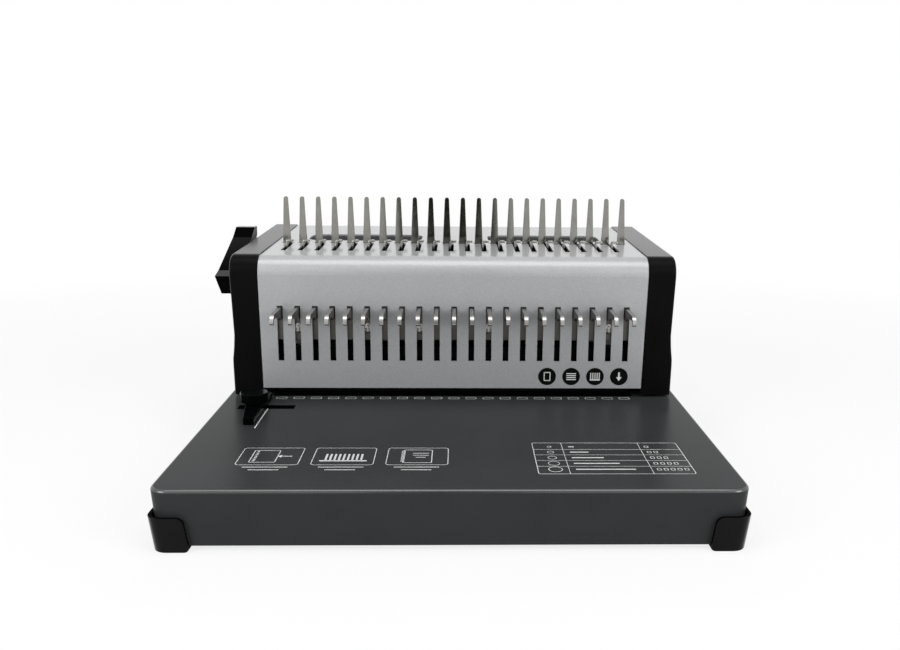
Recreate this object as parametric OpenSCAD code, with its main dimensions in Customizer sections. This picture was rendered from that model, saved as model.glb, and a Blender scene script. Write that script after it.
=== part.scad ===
// Electric comb binding machine: a tray base, a punch body between end caps,
// and a hook opener worked by a side lever.
// Millimetres. X runs to the right, Y to the back, Z up, with Z zero on the table.

/* [Base] */
// Width of the base tray
base_w = 378; // [376:1:384]
// From the front panel to the tray's front edge
base_front = 208; // [196:1:220]
// From the front panel to the base's back edge
base_back = 200; // [199:1:212]
// Height of the tray surface above the table
tray_z = 41; // [40:0.5:44]
// Height of the base shell's lower rim above the table
rim_z = 3.2; // [2.8:0.1:4.5]
// Wall of the base shell
base_wall = 3; // [2.5:0.1:3.5]
// Plan radius of the base corners
corner_r = 9; // [6:0.5:12]

/* [Corner guards] */
// How far a guard stands proud of the base
guard_t = 3; // [2:0.1:4]
// Length of a guard along each side
guard_len = 24; // [20:1:34]
// Height of a guard above the table
guard_h = 22; // [18:1:26]

/* [Cover] */
// Width of the sheet cover between the caps
cover_w = 320; // [319:0.5:322]
// Sheet thickness of the cover
cover_t = 1.5; // [1.2:0.1:1.6]
// Height of the cover's lower front edge
cover_foot = 48.6; // [48:0.1:50]
// Height of the cover's top over the front panel
cover_top = 157.8; // [157:0.1:162]
// Rise of the top to the back in degrees
top_rise = 1.94; // [1.5:0.02:2.4]
// Outside radius of the front bend
bend_r = 15; // [13:0.5:17]
// Depth of the cover
cover_depth = 197; // [196:0.5:198]

/* [End caps] */
// Width of a cap at its foot
cap_w = 23; // [22:0.5:23.5]
// How much narrower a cap is at its waist
cap_waist = 1.9; // [1:0.1:2.4]
// Height where the foot of a cap ends
flare_low = 70; // [64:1:74]
// Height of the waist
flare_high = 92; // [86:1:98]
// How far a cap stands proud of the cover
cap_proud = 1; // [0.6:0.1:1.4]
// Wall of a cap
cap_wall = 3; // [2.5:0.1:3.5]
// Gap between the cover and a cap
cap_gap = 0.2; // [0.1:0.05:0.4]

/* [Comb] */
// Spacing of the comb rings
pitch = 14.2875; // [14.28:0.0025:14.3]
// Width of a front slot
slot_w = 4.8; // [4.6:0.1:5.2]
// Lower end of a front slot
slot_low = 71.8; // [70:0.1:74]
// Upper end of a front slot
slot_high = 118.1; // [117.6:0.1:120]

/* [Uprights] */
// Distance of the upright row behind the front panel
upright_y = 82.5; // [82:0.1:83]
// Height of the upright tips
upright_top = 201.6; // [196:0.1:206]
// Width of an upright at the cover
upright_w = 7.2; // [6.6:0.1:7.6]
// Width of an upright at its tip
upright_tip = 3.8; // [3.4:0.1:4.2]
// Thickness of an upright
upright_t = 1.6; // [1.2:0.1:2]

/* [Hooks] */
// Width of a hook
hook_w = 3; // [2.6:0.1:3.4]
// Thickness of a top hook
hook_t = 1.5; // [1.2:0.1:1.8]
// Reach of a front hook before the panel
hook_reach = 37; // [33:0.5:40]
// Height of a front hook at the panel
hook_z = 117; // [116:0.1:117.4]
// Height of a front hook from its tip to its root
hook_drop = 8; // [7:0.5:10]
// Sideways place of a top hook from its upright
top_hook_x = 4.1; // [3.9:0.1:4.3]
// Height of a top hook above the cover
top_hook_h = 5.5; // [4:0.1:7]
// Sideways reach of a top hook's arm
top_hook_arm = 6; // [5.5:0.1:6.4]
// Depth of a top hook from front to back
top_hook_d = 5; // [4:0.1:5.5]

/* [Lever] */
// Distance of the lever pivot behind the front panel
pivot_y = 34; // [33.6:0.1:34.4]
// Height of the lever pivot
pivot_z = 127; // [126.6:0.1:127.4]
// Turn of the lever in degrees
lever_turn = 80; // [60:1:80]
// Radius of the lever shaft
shaft_r = 4; // [3.6:0.1:4.2]
// Width of the lever from the cap outwards
lever_w = 17; // [16:0.5:19]
// Distance of the grip behind the pivot
grip_back = 74; // [66:1:80]
// Height of the grip above the pivot
grip_up = 40; // [36:1:42]

/* [Punch] */
// Width of a punched hole
hole_w = 8; // [7.6:0.1:8.2]
// Depth of a punched hole
hole_d = 3; // [2.6:0.1:3.2]
// Distance of the punch line behind the front panel
punch_y = 12; // [11.8:0.1:12.2]
// Stroke of the punch beam
stroke = 12; // [11.5:0.1:12.2]
// Distance of the crank shaft behind the front panel
crank_y = 24; // [23.8:0.1:24.4]
// Height of the crank shaft
crank_z = 100; // [99.6:0.1:100.4]
// Place of each crank to the side
crank_x = 100; // [98:0.5:101]
// Radius of the motor
motor_r = 18; // [15:0.5:18.5]

/* [Edge guide] */
// Sideways place of the edge guide
guide_x = -159.4; // [-162:0.1:-156]
// Place of the guide slot before the front panel
guide_y = 32; // [30:0.5:34]
// Radius of the clamp knob
knob_r = 11; // [10:0.1:11.5]
// Height of the clamp knob
knob_h = 7.3; // [6.5:0.1:8]

/* [Drawer] */
// Length of the chip drawer
drawer_l = 318; // [300:1:322]
// Depth of the chip drawer
drawer_d = 34; // [28:1:36]
// Height of the chip drawer
drawer_h = 20; // [18:0.5:21]

/* [Fits] */
// Radial clearance of a running shaft
run_gap = 0.05; // [0.03:0.01:0.08]
// Gap between other moving faces
slide_gap = 0.4; // [0.3:0.05:0.5]

/* [Hidden] */
$fn = 48;
holes = 21;
uprights = holes + 1;
gear_module = 1.5;
pressure = 20;
backlash = 0.2;
root_depth = 1.25;
pinion_teeth = 22;
crank_teeth = 20;
motor_teeth = 14;
pinion_r = gear_module * pinion_teeth / 2;
crank_r = gear_module * crank_teeth / 2;
motor_pinion_r = gear_module * motor_teeth / 2;
gear_pitch = PI * gear_module;
eps = 0.01;
over = 1;
touch = 0.05;

half_w = base_w / 2;
shell_top = tray_z - base_wall;
plate_t = 2;
slope = tan(top_rise);
cap_in = cover_w / 2 + cap_gap;
cap_out = cap_in + cap_w;
cap_shoulder = 142;
cap_top = cover_top + cap_proud;
cap_back = cover_depth + cap_proud;
cap_r = 14;
cap_foot = tray_z + touch;
comb_half = pitch * (holes - 1) / 2;
row_half = pitch * (uprights - 1) / 2;

frame_gap = 0.6;
frame_in = row_half + upright_w / 2 + frame_gap;
frame_t = 3;
frame_front = 20;
frame_back = 150;
frame_top = 152;
bush_t = 2.5;

lane_front = [138, 143.5];
lane_top = [144.5, 150];
rack_back = 4;
rack_low = 112;
rack_high = 153;
rack_front = 31;
rack_rear = 66;

hook_bar_y = 3;
hook_bar_t = 3;
hook_bar_low = 89;
hook_bar_high = 118;
hook_root = 10;
hook_flat = 4;
hook_fall = 0.4;
nose_r = 4;
nose_t = 2.6;
arm_t_front = 3;
arm_t_root = 6.2;
gusset = 8;
bar_half = 148;
bolt_r = 4.4;
bolt_h = 1.1;
bolt_z = 99;
bolt_slots = [1, 5, 8, 12, 19];

top_bar_y = 58;
top_bar_d = 12;
top_bar_low = pivot_z + pinion_r + root_depth * gear_module + rack_back + touch;
top_bar_t = 4;
top_hook_y = 62;
top_slot_front = 37.5;
top_slot_w = 4.4;
upright_free = 0.7;
upright_slot_w = upright_w + 2 * upright_free;
upright_slot_d = upright_t + 2 * upright_free + 1;
cover_under = cover_top - cover_t;

rail_t = 8;
rail_low = 118;
rail_high = 150;
rail_half = frame_in - touch;

well_in = 30.5;
well_out = 134;
well_front = 96;
well_back = 135;
well_depth = 14;
well_wall = 1.5;
well_r = 12;

guide_low = cover_foot;
guide_front = 2.2;
guide_rear = 18.5;
die_low = 30;
die_half = 151;
gauge_y = 17;
gauge_t = 1.5;
pin_rest = 50.5;
pin_seat = 4;
pin_gap = 0.25;
beam_low = 70;
beam_gap = 0.5;
beam_high = 82;
beam_front = 8;
beam_rear = 18;
beam_half = 149;
pin_root = beam_low + pin_seat;
guide_high = beam_low - stroke - beam_gap;
post_r = 2.5;
post_x = pitch * (holes / 2 - 2);
post_y = punch_y + 1;
post_top = 84;
post_in = 6;
throw = stroke / 2;
crank_pin_r = 4;
crank_shaft_r = 4;
yoke_t = 8;
yoke_wall = 3;
yoke_free = 1.6;
yoke_side = 0.8;
yoke_low = beam_high - 2;
web_gap = 0.6;
web_t = 3.6;
web_r = 6;
gear_w = 6;
crank_gear_x = 115;
bearing_x = 128;
bearing_t = 6;
bearing_d = 6;
bearing_front = 5.2;
bearing_rise = 7;
mesh_gap = 0.1;
motor_y = crank_y + crank_r + motor_pinion_r + mesh_gap;
motor_start = 28;
motor_end = 88;
motor_shaft_r = 2.5;
motor_plate_t = 2;
motor_plate_w = 34;

arm_t = 5;
arm_front = 78;
arm_rear = 6;
arm_left = 1;
arm_right = 9.2;
arm_head = 6.6;
arm_edge = 1;
rim_t = 1.4;
rim_deep = 1.6;
rim_start = 1.5;
rim_r = 4.5;
knob_z = tray_z + slide_gap + arm_t;
neck_r = 3;
neck_low = 33;
slot_free = 1;
slot_left = -173.5;
slot_right = -126.5;
carriage = 16;
carriage_t = 3;
rib_count = 24;
rib_r = 0.5;

drawer_y = -3;
drawer_z = 7.5;
drawer_wall = 2;
pull_w = 22;
pull_h = 6;
pull_drop = 3;

rear_t = 1.8;
rear_gap = 0.4;
rear_y = cover_depth - rear_t - rear_gap;
rear_half = cover_w / 2 - rear_gap;
rear_high = cover_under + rear_y * slope - rear_gap;
inlet_x = -118;
inlet_z = 68;
inlet_w = 27;
inlet_h = 20;
inlet_d = 24;
inlet_wall = 2;
rocker_x = -78;
rocker_w = 13;
rocker_h = 19;
rocker_r = 8.4;
rocker_in = 4;
rocker_out = 2;
button_y = 60;
button_z = 118;
button_r = 9;
button_out = 3.5;
button_in = 8;
button_lip = 2;

board_x0 = -120;
board_x1 = -20;
board_d = 48;
board_gap = 8.8;
board_y1 = rear_y - board_gap;
board_y0 = board_y1 - board_d;
board_z = 56;
board_t = 1.6;
board_post_r = 3;
board_edge = 6;
core_x0 = 30;
core_x1 = 96;
core_y0 = 120;
core_y1 = 172;
core_h = 46;

lever_gap = 1.8;
lever_hole = 2;
hub_r = 8.5;
hub_t = 3.2;
hub_gap = 0.6;
hub_skin = 0.6;
sleeve_in = 12;
sleeve_t = 1.4;
shaft_in = 2.8;
nose_front = 5.1;
nose_up = 10.8;
ledge_back = 7.5;
ledge_up = 13.9;
heel_back = 14.3;
heel_low = 7.4;
heel_end = 24;
grip_step = 4;
grip_long = 10;
grip_end = 14;
grip_fall = 8;

seat_x = (cap_out + lever_gap + lever_w - half_w - guard_t) / 2;
seat_y = (base_front - base_back) / 2;

function involute(a) = tan(a) - a * PI / 180;
function flank(n, r) = let (b = n * gear_module / 2 * cos(pressure), a = r > b ? acos(b / r) : 0)
    90 / n + (involute(pressure) - involute(a)) * 180 / PI - backlash / (n * gear_module) * 180 / PI;
function gear_radii(n) =
    let (r = n * gear_module / 2, low = r - root_depth * gear_module, high = r + gear_module)
    [low, max(low, r * cos(pressure)) + touch, r, (r + high) / 2, high];

module block(x, y, z) {
    translate([x[0], y[0], z[0]])
    cube([x[1] - x[0], y[1] - y[0], z[1] - z[0]]);
}

module slab(x, y, z, r) {
    block([x[0] + r, x[1] - r], y, z);
    block(x, [y[0] + r, y[1] - r], z);
    for (cx = [x[0] + r, x[1] - r], cy = [y[0] + r, y[1] - r])
        translate([cx, cy, z[0]])
        cylinder(r = r, h = z[1] - z[0]);
}

module along_x(x, y, z) {
    translate([x, y, z])
    rotate([90, 0, 90])
    children();
}

module rod(x, y, z, r) {
    along_x(x[0], y, z)
    cylinder(r = r, h = x[1] - x[0]);
}

module seat() {
    translate([seat_x, seat_y, 0])
    children();
}

module on_top() {
    translate([0, 0, cover_top])
    rotate([top_rise, 0, 0])
    children();
}

module gear(n, w, bore, phase) {
    radii = gear_radii(n);
    last = len(radii) - 1;
    points = [for (t = [0:n - 1])
        each concat(
            [for (i = [0:last]) let (a = t * 360 / n - flank(n, radii[i]) + phase)
                [radii[i] * cos(a), radii[i] * sin(a)]],
            [for (i = [last:-1:0]) let (a = t * 360 / n + flank(n, radii[i]) + phase)
                [radii[i] * cos(a), radii[i] * sin(a)]])];
    difference() {
        linear_extrude(w)
        polygon(points);
        translate([0, 0, -over])
        cylinder(r = bore, h = w + 2 * over);
    }
}

module rack_profile(from, to, tooth_at) {
    low = root_depth * gear_module;
    half = gear_pitch / 4 - backlash / 2;
    lean = tan(pressure);
    first = ceil((from + half + low * lean - tooth_at) / gear_pitch);
    last = floor((to - half - low * lean - tooth_at) / gear_pitch);
    translate([from, -low - rack_back])
    square([to - from, rack_back]);
    for (i = [first:last])
        translate([tooth_at + i * gear_pitch, 0])
        polygon([[-half - low * lean, -low - eps], [half + low * lean, -low - eps],
            [half - gear_module * lean, gear_module], [-half + gear_module * lean, gear_module]]);
}

module base_tray() {
    color([0.24, 0.25, 0.25])
    seat()
    difference() {
        slab([-half_w, half_w], [-base_front, base_back], [rim_z, tray_z], corner_r);
        slab([base_wall - half_w, half_w - base_wall], [base_wall - base_front, base_back - base_wall],
            [rim_z - over, shell_top], corner_r - base_wall);
        block([-die_half - touch, die_half + touch], [guide_front, guide_rear + touch],
            [shell_top - over, tray_z + over]);
        slab([slot_left, slot_right], [-guide_y - neck_r - slot_free, -guide_y + neck_r + slot_free],
            [shell_top - over, tray_z + over], neck_r + slot_free - touch);
        block([half_w - base_wall - over, half_w + over],
            [drawer_y - slide_gap, drawer_y + drawer_d + slide_gap],
            [drawer_z - slide_gap, drawer_z + drawer_h + slide_gap]);
    }
}

module bottom_plate() {
    color([0.2, 0.2, 0.21])
    seat()
    slab([base_wall - half_w + touch, half_w - base_wall - touch],
        [base_wall - base_front + touch, base_back - base_wall - touch],
        [rim_z, rim_z + plate_t], corner_r - base_wall);
}

module guard(sx, sy) {
    edge_x = half_w + guard_t;
    edge_y = sy < 0 ? base_front + guard_t : base_back + guard_t;
    color([0.03, 0.03, 0.03])
    seat()
    difference() {
        intersection() {
            slab([-edge_x, edge_x], [-base_front - guard_t, base_back + guard_t], [0, guard_h],
                corner_r + guard_t);
            translate([sx > 0 ? edge_x - guard_len : -edge_x, sy > 0 ? edge_y - guard_len : -edge_y, 0])
            cube([guard_len, guard_len, guard_h]);
        }
        slab([-half_w - touch, half_w + touch], [-base_front - touch, base_back + touch],
            [rim_z - touch, guard_h + over], corner_r + touch);
    }
}

module guard_front_left() {
    guard(-1, -1);
}

module guard_front_right() {
    guard(1, -1);
}

module guard_back_left() {
    guard(-1, 1);
}

module guard_back_right() {
    guard(1, 1);
}

// A solid of the cover's outline, drawn in by the sheet's thickness for the inside
module cover_solid(inset, past) {
    side = cover_w / 2 + past;
    bend_z = cover_top - bend_r + bend_r * slope;
    end = cover_depth + past;
    along_x(-side, 0, 0)
    linear_extrude(2 * side)
    polygon([[inset, cover_foot - past], [inset, bend_z], [bend_r, bend_z + bend_r - inset],
        [end, cover_top - inset + end * slope], [end, cover_foot - past]]);
    rod([-side, side], bend_r, bend_z, bend_r - inset);
}

module front_cover() {
    deep = bend_r + 2 * over;
    color([0.72, 0.73, 0.75])
    seat()
    difference() {
        cover_solid(0, 0);
        cover_solid(cover_t, over);
        for (i = [0:holes - 1])
            translate([i * pitch - comb_half - slot_w / 2, -over, slot_low])
            cube([slot_w, cover_t + 2 * over, slot_high - slot_low]);
        for (i = [0:uprights - 1])
            translate([i * pitch - row_half - upright_slot_w / 2, upright_y - upright_slot_d / 2,
                cover_top - deep])
            cube([upright_slot_w, upright_slot_d, 2 * deep]);
        for (i = [0:holes - 1])
            translate([i * pitch - row_half + top_hook_x - top_slot_w / 2, top_slot_front, cover_top - deep])
            cube([top_slot_w, upright_y - top_slot_front, 2 * deep]);
        for (s = [-1, 1])
            on_top()
            well_solid(s, 0, -cover_t - over, over);
    }
}

module well_solid(s, grow, low, high) {
    near = well_in - grow;
    far = well_out + grow;
    x = s > 0 ? [near, far] : [-far, -near];
    slab(x, [well_front - grow, well_back + grow], [low, high], well_r + grow);
}

module well(s) {
    under = -cover_t - touch;
    color([0.3, 0.3, 0.31])
    seat()
    on_top()
    difference() {
        well_solid(s, well_wall, under - well_depth, under);
        well_solid(s, 0, under - well_depth + well_wall, under + over);
    }
}

module left_well() {
    well(-1);
}

module right_well() {
    well(1);
}

module cap_side(inset) {
    rise = (cap_back - inset) * slope;
    top = cap_top - inset;
    difference() {
        polygon([[inset, cap_foot - over], [inset, top], [cap_back - inset, top + rise],
            [cap_back - inset, cap_foot - over]]);
        difference() {
            translate([inset - over, top - cap_r])
            square([cap_r + over, cap_r + over + cap_r * slope]);
            translate([inset + cap_r, top - cap_r + cap_r * slope / 2])
            circle(r = cap_r);
        }
    }
}

module cap_front(inset) {
    polygon([[cap_in, cap_foot], [cap_out - inset, cap_foot], [cap_out - inset, flare_low],
        [cap_out - cap_waist - inset, flare_high], [cap_out - inset, cap_shoulder],
        [cap_out - inset, 2 * cap_top], [cap_in, 2 * cap_top]]);
}

module cap_solid(inset, low) {
    intersection() {
        along_x(0, 0, 0)
        linear_extrude(2 * half_w)
        cap_side(inset);
        translate([0, base_w, low])
        rotate([90, 0, 0])
        linear_extrude(2 * base_w)
        cap_front(inset);
    }
}

module cap_shell() {
    difference() {
        cap_solid(0, 0);
        translate([-over, 0, 0])
        cap_solid(cap_wall, -2 * over);
    }
}

module left_end_cap() {
    color([0.05, 0.05, 0.05])
    seat()
    difference() {
        mirror([1, 0, 0])
        cap_shell();
        rod([-2 * half_w, 0], pivot_y, pivot_z, shaft_r + lever_hole);
    }
}

module right_end_cap() {
    color([0.05, 0.05, 0.05])
    seat()
    difference() {
        cap_shell();
        rod([0, 2 * half_w], button_y, button_z, button_r + slide_gap);
    }
}

module rear_cover() {
    color([0.12, 0.12, 0.12])
    seat()
    difference() {
        block([-rear_half, rear_half], [rear_y, rear_y + rear_t], [cap_foot, rear_high]);
        block([inlet_x - inlet_w / 2, inlet_x + inlet_w / 2], [rear_y - over, rear_y + rear_t + over],
            [inlet_z - inlet_h / 2, inlet_z + inlet_h / 2]);
        block([rocker_x - rocker_w / 2 - slide_gap, rocker_x + rocker_w / 2 + slide_gap],
            [rear_y - over, rear_y + rear_t + over],
            [inlet_z - rocker_h / 2 - slide_gap, inlet_z + rocker_h / 2 + slide_gap]);
    }
}

module frame_plate(s) {
    color([0.45, 0.46, 0.48])
    seat()
    difference() {
        block(s > 0 ? [frame_in, frame_in + frame_t] : [-frame_in - frame_t, -frame_in],
            [frame_front, frame_back], [cap_foot, frame_top]);
        rod([-base_w, base_w], pivot_y, pivot_z, shaft_r + bush_t);
    }
}

module left_frame() {
    frame_plate(-1);
}

module right_frame() {
    frame_plate(1);
}

module bush(s) {
    near = frame_in - over;
    far = frame_in + frame_t + over;
    x = s > 0 ? [near, far] : [-far, -near];
    color([0.7, 0.55, 0.3])
    seat()
    difference() {
        rod(x, pivot_y, pivot_z, shaft_r + bush_t);
        rod([x[0] - over, x[1] + over], pivot_y, pivot_z, shaft_r + run_gap);
    }
}

module left_bush() {
    bush(-1);
}

module right_bush() {
    bush(1);
}

module comb_uprights() {
    wide = upright_w / 2;
    tip = upright_tip / 2;
    neck = cover_top + upright_y * slope;
    color([0.55, 0.54, 0.5])
    seat()
    for (i = [0:uprights - 1])
        translate([i * pitch - row_half, upright_y + upright_t / 2, 0])
        rotate([90, 0, 0])
        linear_extrude(upright_t) {
            polygon([[-wide, rail_low], [wide, rail_low], [wide, neck],
                [tip, upright_top - tip], [-tip, upright_top - tip], [-wide, neck]]);
            translate([0, upright_top - tip])
            circle(r = tip);
        }
}

module upright_rail() {
    face = upright_y + upright_t / 2 + touch;
    color([0.4, 0.41, 0.43])
    seat()
    block([-rail_half, rail_half], [face, face + rail_t], [rail_low, rail_high]);
}

module lever_side() {
    polygon([[-nose_front, nose_up], [ledge_back, ledge_up], [grip_back - grip_long, grip_up - grip_step],
        [grip_back + grip_step, grip_up + grip_step], [grip_back + grip_end, grip_up + grip_step],
        [grip_back + grip_end, grip_up - grip_step], [grip_back + grip_fall, grip_up - grip_fall],
        [heel_end, -grip_step], [heel_back, -heel_low]]);
}

module lever_arm() {
    hub = cap_out + hub_gap;
    color([0.04, 0.04, 0.04])
    seat()
    mirror([1, 0, 0])
    difference() {
        union() {
            along_x(cap_out + lever_gap, pivot_y, pivot_z)
            linear_extrude(lever_w)
            lever_side();
            rod([hub, hub + hub_t], pivot_y, pivot_z, hub_r);
            rod([cap_out - sleeve_in, hub + eps], pivot_y, pivot_z, shaft_r + sleeve_t);
        }
        rod([cap_out - sleeve_in - over, hub + hub_t - hub_skin], pivot_y, pivot_z, shaft_r);
    }
}

module lever_shaft() {
    color([0.62, 0.63, 0.65])
    seat()
    rod([-cap_out - shaft_in, frame_in + frame_t + 2 * over], pivot_y, pivot_z, shaft_r);
}

module pinion(s) {
    color([0.58, 0.58, 0.6])
    seat()
    along_x(s > 0 ? lane_front[0] : -lane_top[1], pivot_y, pivot_z)
    gear(pinion_teeth, lane_top[1] - lane_front[0], shaft_r, 0);
}

module left_pinion() {
    pinion(-1);
}

module right_pinion() {
    pinion(1);
}

module front_hooks() {
    back = hook_bar_y - touch;
    tip = hook_z - hook_drop;
    nose = hook_z - hook_fall;
    color([0.8, 0.8, 0.82])
    seat()
    for (i = [0:holes - 1]) {
        left = i * pitch - comb_half - hook_w / 2;
        along_x(left, 0, 0)
        linear_extrude(hook_w)
        polygon([[back, hook_z - hook_root], [back, hook_z], [-hook_flat, hook_z],
            [nose_r - hook_reach, nose], [-hook_reach, nose - nose_r], [-hook_reach, tip],
            [nose_t - hook_reach, tip], [nose_t - hook_reach, nose - arm_t_front],
            [-hook_flat - gusset, hook_z - arm_t_root], [-hook_flat, hook_z - hook_root]]);
        intersection() {
            rod([left, left + hook_w], nose_r - hook_reach, nose - nose_r, nose_r);
            block([left, left + hook_w], [-hook_reach - over, nose_r - hook_reach],
                [nose - nose_r, nose + over]);
        }
    }
}

module front_hook_bar() {
    color([0.5, 0.5, 0.52])
    seat()
    block([-bar_half, bar_half], [hook_bar_y, hook_bar_y + hook_bar_t], [hook_bar_low, hook_bar_high]);
}

module hook_bolts() {
    color([0.85, 0.85, 0.86])
    seat()
    for (i = bolt_slots)
        translate([i * pitch - comb_half, hook_bar_y - touch, bolt_z])
        rotate([90, 0, 0])
        cylinder(r = bolt_r, h = bolt_h);
}

module front_racks() {
    depth = pivot_y - pinion_r;
    back = depth - root_depth * gear_module - rack_back;
    color([0.5, 0.5, 0.52])
    seat()
    for (s = [-1, 1])
        translate([s > 0 ? lane_front[0] : -lane_front[1], 0, 0]) {
            translate([0, depth, 0])
            rotate([90, 0, 90])
            linear_extrude(lane_front[1] - lane_front[0])
            mirror([1, -1, 0])
            rack_profile(rack_low, rack_high, pivot_z + gear_pitch / 2);
            block([0, lane_front[1] - lane_front[0]], [hook_bar_y + hook_bar_t + touch, back + eps],
                [rack_low, hook_bar_high]);
        }
}

module top_hooks() {
    neck = cover_top + top_hook_y * slope;
    high = neck + top_hook_h;
    low = top_bar_low + top_bar_t + touch;
    half = hook_w / 2;
    color([0.8, 0.8, 0.82])
    seat()
    for (i = [0:holes - 1])
        translate([i * pitch - row_half + top_hook_x, top_hook_y + top_hook_d, 0])
        rotate([90, 0, 0])
        linear_extrude(top_hook_d)
        polygon([[-half, low], [-half + hook_t, low], [-half + hook_t, high - hook_t],
            [top_hook_arm - half, high - hook_t], [top_hook_arm - half, high], [-half, high]]);
}

module top_hook_bar() {
    color([0.5, 0.5, 0.52])
    seat()
    block([-lane_top[1], lane_top[1]], [top_bar_y, top_bar_y + top_bar_d],
        [top_bar_low, top_bar_low + top_bar_t]);
}

module top_racks() {
    height = pivot_z + pinion_r;
    color([0.5, 0.5, 0.52])
    seat()
    for (s = [-1, 1])
        along_x(s > 0 ? lane_top[0] : -lane_top[1], 0, height)
        linear_extrude(lane_top[1] - lane_top[0])
        mirror([0, 1, 0])
        rack_profile(rack_front, rack_rear, pivot_y);
}

module punch_holes(low, high, gap) {
    for (i = [0:holes - 1])
        translate([i * pitch - comb_half - hole_w / 2 - gap, punch_y - hole_d / 2 - gap, low])
        cube([hole_w + 2 * gap, hole_d + 2 * gap, high - low]);
}

module guide_block() {
    color([0.12, 0.12, 0.12])
    seat()
    difference() {
        block([-die_half, die_half], [guide_front, guide_rear], [guide_low, guide_high]);
        punch_holes(guide_low - over, guide_high + over, pin_gap);
        for (s = [-1, 1])
            translate([s * post_x, post_y, guide_high - post_in])
            cylinder(r = post_r, h = post_in + over);
    }
}

module die_block() {
    color([0.3, 0.31, 0.32])
    seat()
    difference() {
        block([-die_half, die_half], [guide_front + touch, guide_rear], [die_low, tray_z]);
        punch_holes(die_low - over, tray_z + over, pin_gap);
    }
}

module back_gauge() {
    color([0.3, 0.31, 0.32])
    seat()
    block([-die_half, die_half], [gauge_y, gauge_y + gauge_t], [tray_z + touch, guide_low - touch]);
}

module guide_posts() {
    color([0.62, 0.63, 0.65])
    seat()
    for (s = [-1, 1])
        translate([s * post_x, post_y, guide_high - post_in])
        cylinder(r = post_r, h = post_top - guide_high + post_in);
}

module yoke(x) {
    pin_z = crank_z + throw;
    wide = crank_pin_r + throw + yoke_side;
    tall = crank_pin_r + yoke_free;
    difference() {
        block([x - yoke_t / 2, x + yoke_t / 2], [crank_y - wide - yoke_wall, crank_y + wide + yoke_wall],
            [yoke_low, pin_z + tall + yoke_wall]);
        block([x - yoke_t, x + yoke_t], [crank_y - wide, crank_y + wide], [pin_z - tall, pin_z + tall]);
    }
}

module punch_beam() {
    color([0.48, 0.49, 0.5])
    seat()
    difference() {
        union() {
            block([-beam_half, beam_half], [beam_front, beam_rear], [beam_low, beam_high]);
            for (s = [-1, 1])
                yoke(s * crank_x);
        }
        punch_holes(beam_low - over, pin_root, touch);
        for (s = [-1, 1])
            translate([s * post_x, post_y, beam_low - over])
            cylinder(r = post_r + run_gap, h = beam_high - beam_low + 2 * over);
    }
}

module punch_pins() {
    color([0.7, 0.7, 0.72])
    seat()
    punch_holes(pin_rest, pin_root, 0);
}

module crank_shaft() {
    half = yoke_t / 2 + web_gap;
    end = bearing_x + bearing_t;
    color([0.6, 0.6, 0.62])
    seat() {
        rod([half + web_t - crank_x - eps, crank_x - half - web_t + eps], crank_y, crank_z, crank_shaft_r);
        for (s = [-1, 1])
            rod(s > 0 ? [crank_x + half + web_t - eps, end] : [-end, eps - crank_x - half - web_t],
                crank_y, crank_z, crank_shaft_r);
        for (s = [-1, 1])
            rod([s * crank_x - half - eps, s * crank_x + half + eps], crank_y, crank_z + throw, crank_pin_r);
        for (s = [-1, 1], e = [-half - web_t, half])
            translate([s * crank_x + e, crank_y, crank_z]) {
                rod([0, web_t], 0, 0, web_r);
                rod([0, web_t], 0, throw, web_r);
                block([0, web_t], [-web_r, web_r], [0, throw]);
            }
    }
}

module crank_gear() {
    color([0.58, 0.58, 0.6])
    seat()
    along_x(crank_gear_x, crank_y, crank_z)
    gear(crank_teeth, gear_w, crank_shaft_r, 0);
}

module crank_bearings() {
    color([0.3, 0.31, 0.32])
    seat()
    difference() {
        for (s = [-1, 1])
            block(s > 0 ? [bearing_x, bearing_x + bearing_t] : [-bearing_x - bearing_t, -bearing_x],
                [crank_y - bearing_front, crank_y + bearing_d], [tray_z + touch, crank_z + bearing_rise]);
        rod([-base_w, base_w], crank_y, crank_z, crank_shaft_r + run_gap);
    }
}

module motor_pinion() {
    color([0.75, 0.62, 0.35])
    seat() {
        along_x(crank_gear_x, motor_y, crank_z)
        gear(motor_teeth, gear_w, motor_shaft_r, 180 / motor_teeth);
        rod([motor_end + over, crank_gear_x + gear_w], motor_y, crank_z, motor_shaft_r + eps);
    }
}

module motor_body() {
    color([0.35, 0.36, 0.38])
    seat()
    rod([motor_start, motor_end], motor_y, crank_z, motor_r);
}

module motor_plate() {
    half = motor_plate_w / 2;
    color([0.45, 0.46, 0.48])
    seat()
    difference() {
        block([motor_end + touch, motor_end + touch + motor_plate_t], [motor_y - half, motor_y + half],
            [tray_z + touch, crank_z + half]);
        rod([motor_end - over, motor_end + motor_plate_t + over], motor_y, crank_z, motor_shaft_r + over);
    }
}

module edge_guide() {
    low = tray_z + slide_gap;
    color([0.04, 0.04, 0.04])
    seat()
    difference() {
        union() {
            hull() {
                translate([guide_x, -guide_y, low])
                cylinder(r = arm_head, h = arm_t);
                slab([guide_x + arm_left, guide_x + arm_right], [-arm_front, -arm_rear],
                    [low, low + arm_t], arm_edge);
            }
            translate([guide_x, -guide_y, neck_low])
            cylinder(r = neck_r, h = low - neck_low + eps);
            block([guide_x - carriage / 2, guide_x + carriage / 2],
                [-guide_y - carriage / 2, carriage / 2 - guide_y],
                [neck_low, neck_low + carriage_t]);
        }
        hull() {
            translate([guide_x + rim_start, -guide_y - knob_r, low + arm_t - rim_deep])
            cylinder(r = rim_r, h = rim_deep + over);
            slab([guide_x + arm_left + rim_t, guide_x + arm_right - rim_t],
                [rim_t - arm_front, -guide_y - knob_r], [low + arm_t - rim_deep, low + arm_t + over],
                arm_edge);
        }
        translate([guide_x, -guide_y, low + over])
        cylinder(r = shaft_r + run_gap, h = arm_t);
    }
}

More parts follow.
